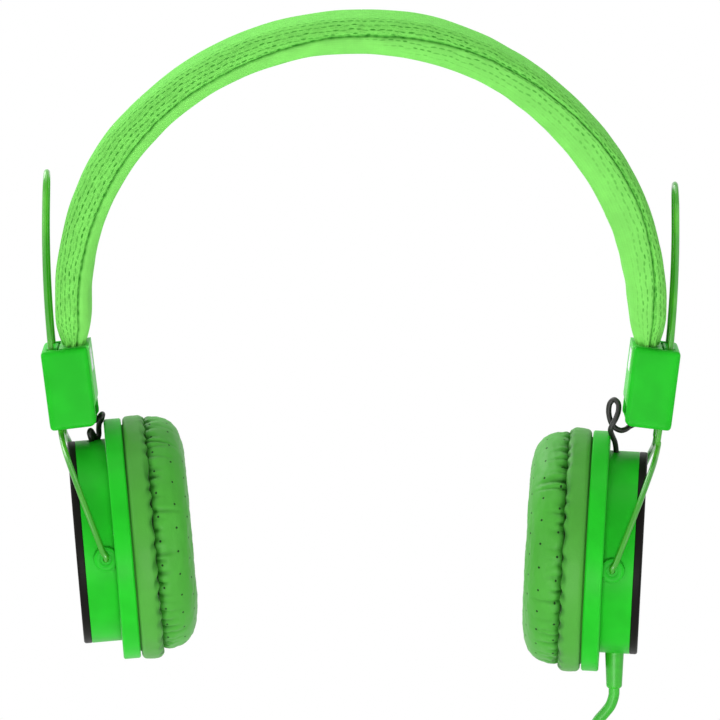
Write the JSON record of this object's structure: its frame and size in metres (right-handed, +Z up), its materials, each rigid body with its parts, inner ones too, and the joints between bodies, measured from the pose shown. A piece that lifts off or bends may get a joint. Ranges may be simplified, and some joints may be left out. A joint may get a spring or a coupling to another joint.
{
  "type": "folding headphone",
  "caption": "Wired on-ear folding headphone with a padded fabric headband, slider blocks, wire arms that draw out and tilting round ear cups.",
  "frame": {"origin": "inner top of the headband, on its centre line, where it rests on the head", "axes": "+Z up, +X towards the wearer's left ear, -Y towards the wearer's front"},
  "size_m": [0.1838, 0.0716, 0.3321],
  "materials": {
    "mesh_fabric": "woven mesh",
    "knit_fabric": "smooth knit",
    "foam": "open-cell foam",
    "spring_steel": "satin",
    "black_plastic": "satin",
    "black_lead": "satin",
    "green_plastic": "semi-gloss",
    "pale_green_plastic": "satin",
    "white_plastic": "satin",
    "green_wire": "gloss paint",
    "steel": "plated",
    "magnet": "plated",
    "film": "clear film",
    "leatherette": "perforated soft leatherette",
    "leatherette_back": "soft leatherette",
    "acoustic_fabric": "fine weave",
    "cable_jacket": "satin",
    "board": "satin",
    "contact_gold": "polished"
  },
  "bodies": {
    "headband": {"headband_cover": "mesh_fabric", "headband_lining": "knit_fabric", "headband_foam_top": "foam", "headband_foam_under": "foam", "headband_spring": "spring_steel", "headband_lead": "black_lead", "left_band_end": "pale_green_plastic", "right_band_end": "pale_green_plastic", "left_side_mark": "white_plastic", "right_side_mark": "white_plastic", "band_rivets": "steel"},
    "left_block": {"left_slider_block": "green_plastic", "left_slider_cover": "green_plastic", "left_cover_screws": "steel", "left_friction_spring": "spring_steel", "left_fold_pin": "steel"},
    "right_block": {"right_slider_block": "green_plastic", "right_slider_cover": "green_plastic", "right_cover_screws": "steel", "right_friction_spring": "spring_steel", "right_fold_pin": "steel"},
    "left_arm": {"left_wire_arm": "green_wire"},
    "right_arm": {"right_wire_arm": "green_wire"},
    "left_cup": {"left_cap_disc": "black_plastic", "left_cup_housing": "green_plastic", "left_pivot_bushes": "green_plastic", "left_baffle_ring": "green_plastic", "left_baffle_screws": "steel", "left_driver_frame": "black_plastic", "left_driver_magnet": "magnet", "left_driver_diaphragm": "film", "left_driver_grille": "black_plastic", "left_acoustic_cloth": "acoustic_fabric", "left_pad_flange": "leatherette_back", "left_ear_cushion": "leatherette", "left_terminal_board": "board", "left_slack_lead": "black_lead", "left_strain_relief": "cable_jacket"},
    "right_cup": {"right_cap_disc": "black_plastic", "right_cup_housing": "green_plastic", "right_pivot_bushes": "green_plastic", "right_baffle_ring": "green_plastic", "right_baffle_screws": "steel", "right_driver_frame": "black_plastic", "right_driver_magnet": "magnet", "right_driver_diaphragm": "film", "right_driver_grille": "black_plastic", "right_acoustic_cloth": "acoustic_fabric", "right_pad_flange": "leatherette_back", "right_ear_cushion": "leatherette", "right_terminal_board": "board", "right_slack_lead": "black_lead"},
    "cable": {"cable_lead": "cable_jacket", "cable_coil": "cable_jacket", "cable_tail": "cable_jacket", "cable_tie": "black_plastic", "plug_boot": "cable_jacket", "plug_body": "green_plastic", "plug_contacts": "contact_gold"}
  },
  "joints": [
    {"name": "left_fold", "type": "hinge", "parent": "headband", "child": "left_block", "pos_m": [0.08175, 0, -0.10161], "axis": [0, 1, 0], "range_deg": [0, 90]},
    {"name": "right_fold", "type": "hinge", "parent": "headband", "child": "right_block", "pos_m": [-0.08175, 0, -0.10161], "axis": [0, 1, 0], "range_deg": [-90, 0]},
    {"name": "left_arm_slide", "type": "hinge", "parent": "left_block", "child": "left_arm", "pos_m": [-0.26925, 0, -0.05383], "axis": [0, -1, 0], "range_deg": [-5.47, 0.57], "deforming": ["left_slack_lead"]},
    {"name": "right_arm_slide", "type": "hinge", "parent": "right_block", "child": "right_arm", "pos_m": [0.26925, 0, -0.05383], "axis": [0, -1, 0], "range_deg": [0, 6.05], "deforming": ["right_slack_lead"]},
    {"name": "left_tilt", "type": "hinge", "parent": "left_arm", "child": "left_cup", "pos_m": [0.07358, 0, -0.14695], "axis": [0.0558, 0.9984, -0.0006], "range_deg": [-14.5, 5]},
    {"name": "right_tilt", "type": "hinge", "parent": "right_arm", "child": "right_cup", "pos_m": [-0.07449, 0, -0.14352], "axis": [0.0558, -0.9984, 0], "range_deg": [-16.2, 3.3]},
    {"name": "cable_swing", "type": "hinge", "parent": "left_cup", "child": "cable", "pos_m": [0.0739, -0.00004, -0.18905], "axis": [0, 1, 0], "range_deg": [-90, 0]}
  ],
  "couplings": [
    {"joint": "cable_swing", "follows": "left_fold", "ratio": -1}
  ]
}
